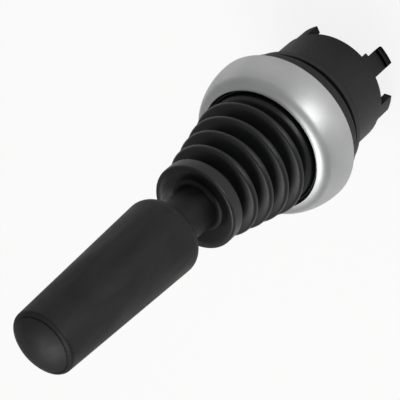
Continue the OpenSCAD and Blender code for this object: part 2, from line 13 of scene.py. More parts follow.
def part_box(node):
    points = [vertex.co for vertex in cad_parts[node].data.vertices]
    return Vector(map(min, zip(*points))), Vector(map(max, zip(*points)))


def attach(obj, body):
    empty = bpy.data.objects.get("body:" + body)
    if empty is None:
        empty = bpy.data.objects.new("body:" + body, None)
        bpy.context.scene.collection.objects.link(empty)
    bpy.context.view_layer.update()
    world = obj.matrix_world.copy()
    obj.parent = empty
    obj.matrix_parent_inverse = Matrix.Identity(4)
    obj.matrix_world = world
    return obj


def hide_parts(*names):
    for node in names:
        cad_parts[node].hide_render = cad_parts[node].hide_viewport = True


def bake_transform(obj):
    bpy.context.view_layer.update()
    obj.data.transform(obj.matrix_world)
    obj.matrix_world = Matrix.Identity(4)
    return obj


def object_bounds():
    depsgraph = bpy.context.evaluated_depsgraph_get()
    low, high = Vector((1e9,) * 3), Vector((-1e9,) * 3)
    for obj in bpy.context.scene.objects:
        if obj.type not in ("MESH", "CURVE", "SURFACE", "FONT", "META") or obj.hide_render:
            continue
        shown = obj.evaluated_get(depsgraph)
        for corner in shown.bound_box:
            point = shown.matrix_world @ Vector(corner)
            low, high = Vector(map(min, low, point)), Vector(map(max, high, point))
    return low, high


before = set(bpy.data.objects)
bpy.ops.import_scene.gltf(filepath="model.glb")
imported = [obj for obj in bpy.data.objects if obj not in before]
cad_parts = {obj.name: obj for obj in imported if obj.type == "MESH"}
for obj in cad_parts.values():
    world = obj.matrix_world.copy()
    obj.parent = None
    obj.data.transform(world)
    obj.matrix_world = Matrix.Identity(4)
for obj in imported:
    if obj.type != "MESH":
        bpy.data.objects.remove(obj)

bl_info = {
    "name": "Industrial joystick head",
    "version": (1, 0, 0),
    "blender": (4, 5, 0),
    "location": "View3D > Sidebar > Joystick",
    "description": "Builds the visible pieces and finishes of a panel-mounted joystick",
    "category": "Object",
}

MM = 0.001
CAD_BOX = [list(corner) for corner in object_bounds()]
SIDES = ("right", "left", "back", "front")
WHITE = (1, 1, 1, 1)

# points nearer than this are one point
TOUCHING = 1e-7
# edges that turn by more than this stay sharp, on solid pieces and on the thin wall of the folds
SHARP = math.radians(35)
WALL_SHARP = math.radians(50)

# how finely round shapes are divided
GRIP_SEGMENTS = 128
BELLOWS_SEGMENTS = 144
DOME_STEPS = 16
ARC_STEPS = 12
FOLD_BEND_POINTS = 7
COIL_POINTS = 240
WIRE_SIDES = 12
HEAD_SIDES = 40
SHANK_SIDES = 24

# corners of one fold, in order from the collar towards the foot
FOLD_CORNERS = ("Upper root", "Upper crest", "Lower crest", "Lower root")

# half widths of the bellows' foot and of the flange that the retaining ring clamps
FOOT_RADIUS = 10.7 * MM
FLANGE_RADIUS = 12.3 * MM

# the camera's place and directions, fitted to the view in the photo
CAMERA_PLACE = (-0.0003, 0.1990, 0.2065)
CAMERA_RIGHT = (0.665, 0.492, -0.561)
CAMERA_UP = (-0.747, 0.439, -0.500)
SENSOR_MM = 36

# the soft boxes: the key's direction is given as right, up and towards the camera
LAMP_DISTANCE = 0.45
KEY_FROM_CAMERA = (0.55, 0.28, 0.78)
KEY_WIDTH = 0.22
FILL_DIRECTION = (0.35, -0.25, 1.0)
FILL_WIDTH = 0.30

# half width of the floor, and how much of what the camera sees of it is even white
FLOOR_REACH = 3.0
FLOOR_GLOW = 0.86


def radius_of(name):
    """Half width of a round frame node."""
    low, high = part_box(name)
    return (high.x - low.x) / 2


# ------------------------------------------------------------------ colours and nodes

def srgb(code):
    """Linear RGBA of an sRGB hex colour."""
    parts = [int(code[i:i + 2], 16) / 255 for i in (1, 3, 5)]
    return tuple(c / 12.92 if c <= 0.04045 else ((c + 0.055) / 1.055) ** 2.4 for c in parts) + (1.0,)


def node(tree, kind, inputs=None, **settings):
    """Adds a node, sets its settings, and fills or links its inputs."""
    made = tree.nodes.new(kind)
    for key, value in settings.items():
        setattr(made, key, value)
    for key, value in (inputs or {}).items():
        if isinstance(value, bpy.types.NodeSocket):
            tree.links.new(value, made.inputs[key])
        else:
            made.inputs[key].default_value = value
    return made


def new_material(name):
    """An empty material with its output node and the object's own coordinates."""
    made = bpy.data.materials.new(name)
    made.use_nodes = True
    tree = made.node_tree
    tree.nodes.clear()
    place = node(tree, "ShaderNodeTexCoord").outputs["Object"]
    return made, tree, place


def maths(tree, operation, *values):
    """Result of a maths node on the given values."""
    return node(tree, "ShaderNodeMath", dict(enumerate(values)), operation=operation).outputs[0]


def vector_maths(tree, operation, first, second):
    """Result of a vector maths node: on two vectors, or on a vector and the number that scales it."""
    key = "Scale" if operation == "SCALE" else 1
    return node(tree, "ShaderNodeVectorMath", {0: first, key: second}, operation=operation).outputs[0]


def mapped(tree, value, low, high, from_low=0.0, from_high=1.0):
    """The value carried from one range to another."""
    return node(tree, "ShaderNodeMapRange", {
        "Value": value, "From Min": from_low, "From Max": from_high,
        "To Min": low, "To Max": high}).outputs["Result"]


def per_mm(size_mm):
    """Texture scale whose features are about size_mm wide."""
    return 1.0 / (size_mm * MM)


# ------------------------------------------------------------------ finishes

def ramp(tree, value, dark, light, low=0.3, high=0.72):
    """Colour that runs from dark to light as the value goes from low to high."""
    made = node(tree, "ShaderNodeValToRGB", {"Fac": value})
    for element, at, code in zip(made.color_ramp.elements, (low, high), (dark, light)):
        element.position = at
        element.color = srgb(code)
    return made.outputs["Color"]


def noise(tree, place, size_mm, detail=4.0, distortion=0.0):
    """Mottle whose patches are about size_mm wide."""
    return node(tree, "ShaderNodeTexNoise", {
        "Vector": place, "Scale": per_mm(size_mm), "Detail": detail,
        "Distortion": distortion}).outputs["Fac"]


def stretched(tree, place, scale):
    """The object's coordinates, drawn out along one direction."""
    return node(tree, "ShaderNodeMapping", {"Vector": place, "Scale": scale}).outputs["Vector"]


def roughness(tree, value, low, high):
    """Roughness that runs between two ends over the middle range of a mottle."""
    return mapped(tree, value, low, high, 0.3, 0.7)


def surface(tree, colour, rough, height, depth_mm, strength, **settings):
    """Joins colour, roughness and fine relief into one shader and the material's output."""
    bump = node(tree, "ShaderNodeBump", {
        "Height": height, "Strength": strength, "Distance": depth_mm * MM})
    inputs = {"Base Color": colour, "Roughness": rough, "Normal": bump.outputs["Normal"]}
    inputs.update({key.replace("_", " "): value for key, value in settings.items()})
    shader = node(tree, "ShaderNodeBsdfPrincipled", inputs)
    node(tree, "ShaderNodeOutputMaterial", {"Surface": shader.outputs["BSDF"]})


def moulded_rubber():
    """Compression-moulded EPDM: near black, with a soft sheen that picks out the crests of the folds."""
    made, tree, place = new_material("rubber_moulded_epdm")
    grain = noise(tree, place, 0.35, 3.0)
    surface(tree, ramp(tree, noise(tree, place, 5.0), "#0c0d0e", "#161718"),
            roughness(tree, grain, 0.34, 0.48), grain, 0.02, 0.3, IOR=1.5)
    return made


def nitrile_rubber():
    """Moulded nitrile rubber: flat black with a dusty grain, so the gasket reads as a dark line."""
    made, tree, place = new_material("rubber_nitrile_gasket")
    grain = noise(tree, place, 0.25, 3.0)
    surface(tree, ramp(tree, noise(tree, place, 1.8), "#0b0b0c", "#151515"),
            roughness(tree, grain, 0.62, 0.8), grain, 0.02, 0.35, IOR=1.52)
    return made


def grip_plastic():
    """Injection-moulded polyamide with a spark-eroded skin: matt black with faint rub marks of use."""
    made, tree, place = new_material("polyamide_spark_eroded")
    grain = noise(tree, place, 0.4)
    rubs = noise(tree, stretched(tree, place, (1.0, 1.0, 0.35)), 3.0, 5.0, 0.6)
    surface(tree, ramp(tree, rubs, "#0e0e0f", "#181818", 0.35), roughness(tree, rubs, 0.62, 0.5),
            grain, 0.03, 0.4, IOR=1.5, Specular_IOR_Level=0.38)
    return made


def neck_plastic():
    """Smooth moulded polyamide: deeper black than the grip, with a soft line of light down the neck."""
    made, tree, place = new_material("polyamide_smooth_moulded")
    cloud = noise(tree, place, 2.0)
    surface(tree, ramp(tree, cloud, "#080809", "#0f0f10"), roughness(tree, cloud, 0.44, 0.54),
            noise(tree, place, 0.3, 3.0), 0.02, 0.25, IOR=1.5, Specular_IOR_Level=0.36)
    return made


def housing_plastic():
    """Glass-filled polyamide, injection moulded: charcoal, half matt, with painted shade that turns its
    deep steps nearly black.

    A band of painted shadow darkens the flange just below the skirt to a black line."""
    made, tree, place = new_material("polyamide_glass_filled")
    occlusion_reach = 3.0 * MM
    shadow_band_rise, shadow_band_half = 1.85 * MM, 0.86 * MM
    shadow_band_share, gloss_level = 0.1, 0.38
    grain = noise(tree, place, 0.3, 3.0)
    # painted shade: ambient occlusion darkens the colour and the gloss in the deep steps
    painted_occlusion = node(tree, "ShaderNodeAmbientOcclusion", {"Distance": occlusion_reach}).outputs["AO"]
    occlusion_shade = mapped(tree, painted_occlusion, 0.0, 1.0, 0.55, 0.92)
    height = node(tree, "ShaderNodeSeparateXYZ", {"Vector": place}).outputs["Z"]
    # painted shadow: a band of the flange just below the skirt is darkened to a black line
    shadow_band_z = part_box("panel_gasket")[1].z + shadow_band_rise
    in_shadow_band = maths(tree, "COMPARE", height, shadow_band_z, shadow_band_half)
    painted_shade = maths(tree, "MULTIPLY", occlusion_shade, mapped(tree, in_shadow_band, 1.0, shadow_band_share))
    skin = ramp(tree, noise(tree, place, 2.2, 5.0), "#0f1011", "#181919")
    surface(tree, vector_maths(tree, "SCALE", skin, painted_shade), roughness(tree, grain, 0.38, 0.52),
            grain, 0.02, 0.3, IOR=1.53, Specular_IOR_Level=maths(tree, "MULTIPLY", painted_shade, gloss_level))
    return made


def ring_plastic():
    """Black acetal, turned smooth: a crisp glossy ring that holds the foot of the bellows."""
    made, tree, place = new_material("acetal_black_turned")
    cloud = noise(tree, place, 1.5)
    surface(tree, ramp(tree, cloud, "#0d0d0e", "#151617"), roughness(tree, cloud, 0.28, 0.36),
            noise(tree, place, 0.2, 2.0), 0.01, 0.15, IOR=1.48)
    return made


def bezel_silver():
    """Matt chrome plating on a moulded ring: light satin silver with one broad soft highlight."""
    made, tree, place = new_material("matt_chrome_plated")
    grain = noise(tree, place, 0.3, 3.0)
    surface(tree, ramp(tree, noise(tree, place, 6.0), "#c2c3c4", "#cecfcf"),
            roughness(tree, grain, 0.40, 0.48), grain, 0.01, 0.2, Metallic=0.9)
    return made


def turned_metal(name, dark, light, radian_mm):
    """Turned metal: fine rings left by the tool, which stretch the highlight round the part.

    The rings' wave turns through one radian in radian_mm of height."""
    made, tree, place = new_material(name)
    wave_rate = 20  # radians that Blender's wave texture turns through per unit
    rings = node(tree, "ShaderNodeTexWave", {
        "Vector": place, "Scale": per_mm(radian_mm) / wave_rate, "Distortion": 0.4, "Detail": 2.0},
        wave_type="BANDS", bands_direction="Z").outputs["Fac"]
    cloud = noise(tree, place, 1.5)
    surface(tree, ramp(tree, cloud, dark, light), roughness(tree, cloud, 0.24, 0.38),
            rings, 0.01, 0.25, Metallic=1.0)
    return made


def ground_pins():
    """Centreless-ground steel: near mirror, with hair lines that run round the pin."""
    made, tree, place = new_material("steel_ground")
    lines = noise(tree, stretched(tree, place, (0.2, 0.2, 1.0)), 0.12, 2.0)
    surface(tree, ramp(tree, noise(tree, place, 1.0), "#a9abad", "#c0c2c3"),
            roughness(tree, lines, 0.16, 0.26), lines, 0.004, 0.2, Metallic=1.0)
    return made


def stamped_steel():
    """Zinc-plated stamping: cool grey with soft bluish clouds and the grain of the rolled sheet."""
    made, tree, place = new_material("steel_stamped_zinc_plated")
    sheet = noise(tree, stretched(tree, place, (0.15, 1.0, 1.0)), 0.3, 3.0)
    surface(tree, ramp(tree, noise(tree, place, 2.0), "#8f9499", "#adb1b4"),
            roughness(tree, sheet, 0.3, 0.45), sheet, 0.01, 0.25, Metallic=1.0)
    return made


def cast_zinc():
    """Die-cast zinc, tumbled: dull grey with a pebbled skin on the gimbal ring and the hub."""
    made, tree, place = new_material("zinc_die_cast_tumbled")
    pebble = node(tree, "ShaderNodeTexVoronoi", {
        "Vector": place, "Scale": per_mm(0.35)}, feature="SMOOTH_F1").outputs["Distance"]
    surface(tree, ramp(tree, noise(tree, place, 1.4, 5.0), "#77797b", "#939597"),
            roughness(tree, noise(tree, place, 0.5), 0.42, 0.58), pebble, 0.02, 0.3, Metallic=1.0)
    return made


def spring_wire():
    """Hard-drawn spring wire: bright steel with a thin brown film of drawing oil left between coils."""
    made, tree, place = new_material("steel_spring_drawn")
    film = noise(tree, place, 0.6, 3.0)
    surface(tree, ramp(tree, film, "#8d857a", "#b4b4b2"), roughness(tree, film, 0.2, 0.34),
            noise(tree, place, 0.08, 2.0), 0.004, 0.2, Metallic=1.0)
    return made


def dress(name, material):
    """Gives a frame node its finish."""
    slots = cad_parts[name].material_slots
    for slot in slots:
        slot.material = material
    if not slots:
        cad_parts[name].data.materials.append(material)


# ------------------------------------------------------------------ mesh helpers

def rounded(corners, steps=8):
    """Outline through corners (r, z, radius), with an arc of that radius at each inner corner."""
    nearly_straight = math.radians(89.5)
    points = []
    for i, (x, z, radius) in enumerate(corners):
        here = Vector((x, z))
        if radius <= 0 or i in (0, len(corners) - 1):
            points.append(here)
            continue
        a = Vector(corners[i - 1][:2]) - here
        b = Vector(corners[i + 1][:2]) - here
        half = a.angle(b) / 2
        if half > nearly_straight:
            points.append(here)
            continue
        centre = here + (a.normalized() + b.normalized()).normalized() * (radius / math.sin(half))
        start = here + a.normalized() * (radius / math.tan(half)) - centre
        turn = start.angle_signed(here + b.normalized() * (radius / math.tan(half)) - centre)
        for k in range(steps + 1):
            angle = -turn * k / steps
            points.append(centre + Vector((
                start.x * math.cos(angle) - start.y * math.sin(angle),
                start.x * math.sin(angle) + start.y * math.cos(angle))))
    return points


def in_scene(name, mesh):
    """Shades a mesh smooth between its sharp edges and puts it in the scene as an object."""
    mesh.shade_smooth()
    mesh.set_sharp_from_angle(angle=SHARP)
    piece = bpy.data.objects.new(name, mesh)
    bpy.context.scene.collection.objects.link(piece)
    return piece


def finish_mesh(name, bm, material):
    """Turns bmesh work into an object with its finish."""
    mesh = bpy.data.meshes.new(name)
    bm.to_mesh(mesh)
    bm.free()
    mesh.materials.append(material)
    return in_scene(name, mesh)


def lathe(name, outline, material, segments, closed=True):
    """Turns an outline of (radius, height) points round Z; a point on the axis becomes a pole."""
    bm = bmesh.new()
    turns = [math.tau * k / segments for k in range(segments)]
    rings = []
    for r, z in outline:
        if r < TOUCHING:
            rings.append([bm.verts.new((0, 0, z))])
        else:
            rings.append([bm.verts.new((r * math.cos(turn), r * math.sin(turn), z)) for turn in turns])
    pairs = list(zip(rings, rings[1:]))
    if closed and len(rings[0]) > 1 and len(rings[-1]) > 1:
        pairs.append((rings[-1], rings[0]))
    for one, two in pairs:
        for k in range(segments):
            n = (k + 1) % segments
            corners = [one[k % len(one)], one[n % len(one)], two[n % len(two)], two[k % len(two)]]
            face = list(dict.fromkeys(corners))
            if len(face) > 2:
                bm.faces.new(face)
    bmesh.ops.remove_doubles(bm, verts=bm.verts, dist=TOUCHING)
    bmesh.ops.recalc_face_normals(bm, faces=bm.faces)
    return finish_mesh(name, bm, material)


def new_tree(name, inputs):
    """A Geometry Nodes tree with one geometry output and the named inputs (name, kind)."""
    tree = bpy.data.node_groups.new(name, "GeometryNodeTree")
    tree.is_modifier = True
    tree.interface.new_socket(name="Geometry", in_out="OUTPUT", socket_type="NodeSocketGeometry")
    for label, kind in inputs:
        tree.interface.new_socket(name=label, in_out="INPUT", socket_type="NodeSocket" + kind)
    return tree, node(tree, "NodeGroupInput").outputs


def end_tree(tree, geometry, material):
    """Ends a tree with plain geometry in one material."""
    whole = node(tree, "GeometryNodeRealizeInstances", {"Geometry": geometry}).outputs[0]
    done = node(tree, "GeometryNodeSetMaterial", {"Geometry": whole, "Material": material}).outputs[0]
    node(tree, "NodeGroupOutput", {"Geometry": done})


def grow(name, tree, values):
    """Runs a Geometry Nodes tree with its inputs and returns the result as a plain mesh object."""
    host = bpy.data.objects.new(name + "_host", bpy.data.meshes.new(name + "_host"))
    bpy.context.scene.collection.objects.link(host)
    modifier = host.modifiers.new("build", "NODES")
    modifier.node_group = tree
    for item in tree.interface.items_tree:
        if item.item_type == "SOCKET" and item.in_out == "INPUT":
            modifier[item.identifier] = values[item.name]
    graph = bpy.context.evaluated_depsgraph_get()
    mesh = bpy.data.meshes.new_from_object(host.evaluated_get(graph))
    bpy.data.objects.remove(host)
    mesh.name = name
    return in_scene(name, mesh)


# ------------------------------------------------------------------ sizes

class JOY_PG_grip(bpy.types.PropertyGroup):
    """Sizes of the grip and its neck."""
    dome_radius: bpy.props.FloatProperty(
        name="Dome radius", description="Radius of the domed end face", default=9.0 * MM, unit="LENGTH")
    edge_radius: bpy.props.FloatProperty(
        name="Edge radius", description="Rounding round the end face", default=0.7 * MM, unit="LENGTH")
    groove: bpy.props.FloatProperty(
        name="Groove", description="Width of the fine groove inside that rounding", default=0.3 * MM,
        unit="LENGTH")
    shoulder_radius: bpy.props.FloatProperty(
        name="Shoulder radius", description="Rounding beside the neck", default=2.4 * MM, unit="LENGTH")
    tip_radius: bpy.props.FloatProperty(
        name="Tip radius", description="Half width at the outer end", default=5.7 * MM, unit="LENGTH")


class JOY_PG_bellows(bpy.types.PropertyGroup):
    """Sizes of the rubber bellows."""
    folds: bpy.props.IntProperty(
        name="Folds", description="Number of folds below the collar", default=4, min=2)
    pitch: bpy.props.FloatProperty(
        name="Pitch", description="Distance from one fold to the next", default=3.55 * MM, unit="LENGTH")
    growth: bpy.props.FloatProperty(
        name="Growth", description="How much wider each fold is than the one above",
        default=0.795 * MM, unit="LENGTH")
    tip_radius: bpy.props.FloatProperty(
        name="Fold tip radius", description="Rounding of each fold", default=0.75 * MM, unit="LENGTH")
    groove_radius: bpy.props.FloatProperty(
        name="Groove radius", description="Rounding at the bottom of each groove",
        default=0.55 * MM, unit="LENGTH")
    depth: bpy.props.FloatProperty(
        name="Depth", description="Radial depth from a tip's centre to a groove's centre",
        default=1.3 * MM, unit="LENGTH")
    wall: bpy.props.FloatProperty(
        name="Wall", description="Thickness of the rubber", default=0.6 * MM, unit="LENGTH")
    collar_radius: bpy.props.FloatProperty(
        name="Collar radius", description="Half width of the thick collar", default=7.9 * MM,
        unit="LENGTH")
    collar_top: bpy.props.FloatProperty(
        name="Collar front", description="Height of the collar's front edge", default=34.08 * MM,
        unit="LENGTH")
    collar_depth: bpy.props.FloatProperty(
        name="Collar thickness", description="Thickness of the collar at its rim", default=3.0 * MM,
        unit="LENGTH")
    collar_edge: bpy.props.FloatProperty(
        name="Collar edge", description="Rounding of the collar's front edge", default=0.5 * MM,
        unit="LENGTH")
    dish_width: bpy.props.FloatProperty(
        name="Dish", description="Width of the slope from the collar's face down to the neck",
        default=1.9 * MM, unit="LENGTH")
    dish_depth: bpy.props.FloatProperty(
        name="Dish depth", description="Depth of the collar's dish at the neck", default=1.0 * MM,
        unit="LENGTH")


class JOY_PG_springs(bpy.types.PropertyGroup):
    """Sizes of the four plunger springs."""
    wire: bpy.props.FloatProperty(
        name="Wire", description="Diameter of the spring wire", default=0.4 * MM, unit="LENGTH")
    turns: bpy.props.FloatProperty(
        name="Turns", description="Turns of each coil, ground ends included", default=7.5, min=3)


class JOY_PG_screws(bpy.types.PropertyGroup):
    """Number and sizes of the screws that hold the rear cover."""
    count: bpy.props.IntProperty(
        name="Count", description="Number of screws", default=4, min=1)
    circle: bpy.props.FloatProperty(
        name="Circle", description="Radius of the circle the screws stand on", default=7.4 * MM,
        unit="LENGTH")
    head: bpy.props.FloatProperty(
        name="Head", description="Radius of a screw's head", default=1.6 * MM, unit="LENGTH")
    head_height: bpy.props.FloatProperty(
        name="Head height", description="Height of a screw's head", default=1.0 * MM, unit="LENGTH")
    slot: bpy.props.FloatProperty(
        name="Slot", description="Width and depth of the driver's slot", default=0.5 * MM, unit="LENGTH")
    thread: bpy.props.FloatProperty(
        name="Thread", description="Radius of the thread", default=0.9 * MM, unit="LENGTH")


class JOY_PG_stage(bpy.types.PropertyGroup):
    """The floor, the light and the camera."""
    floor_colour: bpy.props.FloatVectorProperty(
        name="Floor", description="Colour of the floor", default=srgb("#f4f4f2"), size=4,
        subtype="COLOR", min=0, max=1)
    key_power: bpy.props.FloatProperty(
        name="Key light", description="Power of the main soft box", default=0.68, unit="POWER")
    fill_power: bpy.props.FloatProperty(
        name="Fill light", description="Power of the fill soft box", default=1.2, unit="POWER")
    sky: bpy.props.FloatProperty(
        name="Sky", description="Strength of the even light all round", default=0.32)
    lens: bpy.props.FloatProperty(
        name="Lens", description="Focal length of the camera", default=144, unit="CAMERA")


# ------------------------------------------------------------------ operators

class JOY_OT_grip(bpy.types.Operator):
    """Turns the grip, and gives the neck between the grip and the bellows its finish."""
    bl_idname = "joystick.grip"
    bl_label = "Grip and neck"

    def execute(self, context):
        size = context.scene.joystick_grip
        low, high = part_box("grip")
        root = radius_of("grip")
        top, dome, edge, shoulder = high.z, size.dome_radius, size.edge_radius, size.shoulder_radius
        edge_x = size.tip_radius - edge
        edge_z = top - dome + math.sqrt((dome - edge) ** 2 - edge_x ** 2)
        join = math.atan2(edge_x, edge_z - top + dome)

        def on_dome(angle, sunk=0.0):
            reach = dome - sunk
            return Vector((reach * math.sin(angle), top - dome + reach * math.cos(angle)))

        def arc(x, z, radius, start, end, first):
            angles = [start + (end - start) * k / ARC_STEPS for k in range(first, ARC_STEPS + 1)]
            return [Vector((x + radius * math.cos(a), z + radius * math.sin(a))) for a in angles]

        # the groove's middle lies this many of its widths inside the rounded edge
        groove_inset = 1.6
        width = size.groove / dome
        ring = join - groove_inset * width
        outline = [Vector((0, top))]
        outline += [on_dome((ring - width / 2) * k / DOME_STEPS) for k in range(1, DOME_STEPS + 1)]
        outline += [on_dome(ring + width * side / 4, size.groove / 2) for side in (-1, 1)]
        outline += [on_dome(ring + width / 2), on_dome(join)]
        taper = math.atan2(root - size.tip_radius, edge_z - low.z - shoulder)
        outline += arc(edge_x, edge_z, edge, math.pi / 2 - join, taper, first=1)
        outline += arc(root - shoulder, low.z + shoulder, shoulder, taper, -math.pi / 2, first=0)
        bore, bore_depth = 3.0 * MM, 2.0 * MM
        outline += [Vector((bore, low.z)), Vector((bore, low.z + bore_depth)),
                    Vector((0, low.z + bore_depth))]
        grip = lathe("grip_moulding", outline, grip_plastic(), GRIP_SEGMENTS, closed=False)
        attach(grip, "lever")
        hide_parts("grip")
        dress("neck_sleeve", neck_plastic())
        return {"FINISHED"}


def cross_point(p, u, q, v):
    """Where the line through p along u meets the line through q along v."""
    t = ((q.x - p.x) * v.y - (q.y - p.y) * v.x) / (u.x * v.y - u.y * v.x)
    return p + u * t


def fold_corners(size, tip):
    """Corners of one fold round its tip centre before they are rounded, and the beds beside it."""
    step = Vector((size.growth, -size.pitch))
    groove_below = tip + step / 2 - Vector((size.depth, 0))
    groove_above = tip - step / 2 - Vector((size.depth, 0))
    reach = size.tip_radius + size.groove_radius
    along = step.normalized()
    out = Vector((-along.y, along.x))

    def flank(groove, side):
        d = groove - tip
        lean = math.asin(reach / d.length)
        angle = math.atan2(d.y, d.x) + side * (math.pi / 2 - lean)
        spoke = Vector((math.cos(angle), math.sin(angle)))
        return tip + spoke * size.tip_radius, Vector((-spoke.y, spoke.x))

    upper = flank(groove_above, -1)
    lower = flank(groove_below, 1)
    crest = (tip + out * size.tip_radius, along)
    bed_above = (groove_above - out * size.groove_radius, along)
    bed_below = (groove_below - out * size.groove_radius, along)
    return {
        "Upper root": cross_point(*bed_above, *upper), "Upper crest": cross_point(*upper, *crest),
        "Lower crest": cross_point(*crest, *lower), "Lower root": cross_point(*lower, *bed_below),
        "Bed above": bed_above[0], "Bed below": bed_below[0]}


def fold_tree():
    """Folds of a bellows: a rounded zigzag turned round the axis, each fold wider than the last."""
    tree, given = new_tree("Bellows folds", [
        ("Folds", "Int"), ("Step", "Vector"), *((label, "Vector") for label in FOLD_CORNERS),
        ("Bed above", "Vector"), ("Bed below", "Vector"), ("Tip radius", "Float"),
        ("Groove radius", "Float"), ("Path radius", "Float"), ("Segments", "Int"),
        ("Material", "Material")])

    def choose(test, if_true, if_false, kind):
        return node(tree, "GeometryNodeSwitch", {
            "Switch": test, "False": if_false, "True": if_true}, input_type=kind).outputs[0]

    # the points are the bed above, the corners of each fold in turn, and the bed below
    per_fold = len(FOLD_CORNERS)
    count = maths(tree, "MULTIPLY", given["Folds"], per_fold)
    total = maths(tree, "ADD", count, 2)
    line = node(tree, "GeometryNodeMeshLine", {"Count": total, "Offset": (0, 0, MM)}).outputs["Mesh"]
    behind = maths(tree, "SUBTRACT", node(tree, "GeometryNodeInputIndex").outputs[0], 1)
    fold = maths(tree, "FLOOR", maths(tree, "DIVIDE", behind, per_fold))
    corner = maths(tree, "FLOORED_MODULO", behind, per_fold)
    place = node(tree, "GeometryNodeIndexSwitch", data_type="VECTOR")
    while len(place.index_switch_items) < per_fold:
        place.index_switch_items.new()
    tree.links.new(corner, place.inputs["Index"])
    for slot, label in enumerate(FOLD_CORNERS):
        tree.links.new(given[label], place.inputs[1 + slot])
    shift = vector_maths(tree, "SCALE", given["Step"], fold)
    on_fold = vector_maths(tree, "ADD", place.outputs[0], shift)
    one_less = vector_maths(tree, "SUBTRACT", shift, given["Step"])
    at_end = vector_maths(tree, "ADD", given["Bed below"], one_less)
    after_start = choose(maths(tree, "LESS_THAN", behind, count), on_fold, at_end, "VECTOR")
    point = choose(maths(tree, "LESS_THAN", behind, 0), given["Bed above"], after_start, "VECTOR")
    bent = node(tree, "GeometryNodeSetPosition", {"Geometry": line, "Position": point}).outputs[0]
    curve = node(tree, "GeometryNodeMeshToCurve", {"Mesh": bent}).outputs[0]

    # the two middle corners of a fold are its tip
    from_middle = maths(tree, "ABSOLUTE", maths(tree, "SUBTRACT", corner, (per_fold - 1) / 2))
    at_tip = maths(tree, "LESS_THAN", from_middle, 1)
    radius = choose(at_tip, given["Tip radius"], given["Groove radius"], "FLOAT")
    smooth = node(tree, "GeometryNodeFilletCurve", {
        "Curve": curve, "Count": FOLD_BEND_POINTS, "Radius": radius, "Limit Radius": True},
        mode="POLY").outputs[0]
    path = node(tree, "GeometryNodeCurvePrimitiveCircle", {
        "Resolution": given["Segments"], "Radius": given["Path radius"]}).outputs[0]
    swept = node(tree, "GeometryNodeCurveToMesh", {"Curve": path, "Profile Curve": smooth}).outputs[0]
    end_tree(tree, swept, given["Material"])
    return tree


def solid_wall(piece, wall):
    """Gives an open shell its wall, inwards, and applies it."""
    modifier = piece.modifiers.new("wall", "SOLIDIFY")
    modifier.thickness = wall
    modifier.offset = -1
    graph = bpy.context.evaluated_depsgraph_get()
    mesh = bpy.data.meshes.new_from_object(piece.evaluated_get(graph))
    piece.modifiers.clear()
    piece.data = mesh
    mesh.shade_smooth()
    mesh.set_sharp_from_angle(angle=WALL_SHARP)
    return piece


def point_outwards(piece):
    """Merges doubles and turns the faces of a round shell away from its axis."""
    bm = bmesh.new()
    bm.from_mesh(piece.data)
    bmesh.ops.remove_doubles(bm, verts=bm.verts, dist=TOUCHING)
    bmesh.ops.recalc_face_normals(bm, faces=bm.faces)
    widest = max(bm.faces, key=lambda f: f.calc_center_median().xy.length)
    if widest.normal.xy.dot(widest.calc_center_median().xy) < 0:
        bmesh.ops.reverse_faces(bm, faces=bm.faces)
    bm.to_mesh(piece.data)
    bm.free()
    return piece


